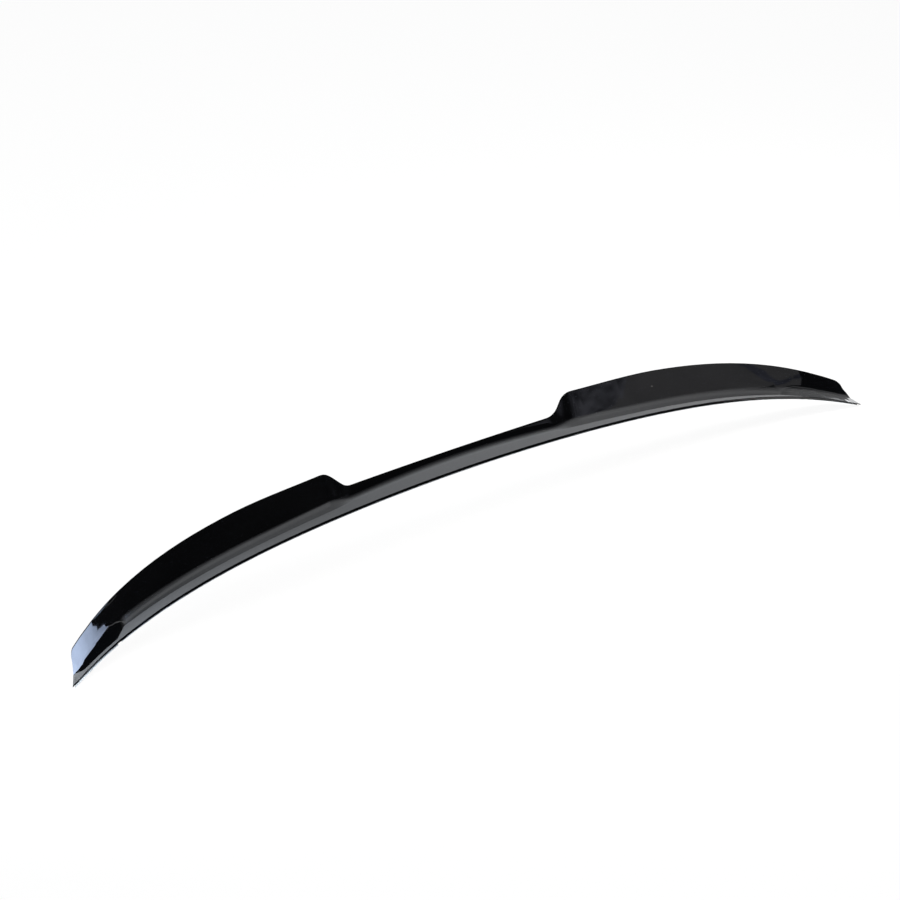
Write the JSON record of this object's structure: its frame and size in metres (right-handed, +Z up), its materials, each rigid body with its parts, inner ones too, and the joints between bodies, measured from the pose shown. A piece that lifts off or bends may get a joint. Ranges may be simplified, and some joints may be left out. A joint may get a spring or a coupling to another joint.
{
  "type": "car rear spoiler",
  "caption": "Low rear spoiler for a car's boot lid: a gloss black moulded shell whose middle lip runs between raised wings, held on by foam tape.",
  "frame": {"origin": "middle of the front edge, on the surface of the lid that the spoiler lies on (underside of the tape's liner)", "axes": "+X across the car along the spoiler, +Y towards the rear of the car, +Z up; the spoiler is its own mirror image across X = 0"},
  "size_m": [1.202, 0.094, 0.1039],
  "materials": {
    "gloss_black": "deep gloss black, clear coated, faint orange peel and dust",
    "foam_tape": "black closed-cell foam, matt",
    "release_liner": "thin pale film, satin"
  },
  "bodies": {
    "root": {"spoiler": "gloss_black", "front_tape_middle": "foam_tape", "front_tape_left": "foam_tape", "front_tape_right": "foam_tape", "rear_tape_left": "foam_tape", "rear_tape_right": "foam_tape", "front_liner_middle": "release_liner", "front_liner_left": "release_liner", "front_liner_right": "release_liner", "rear_liner_left": "release_liner", "rear_liner_right": "release_liner"}
  },
  "joints": []
}
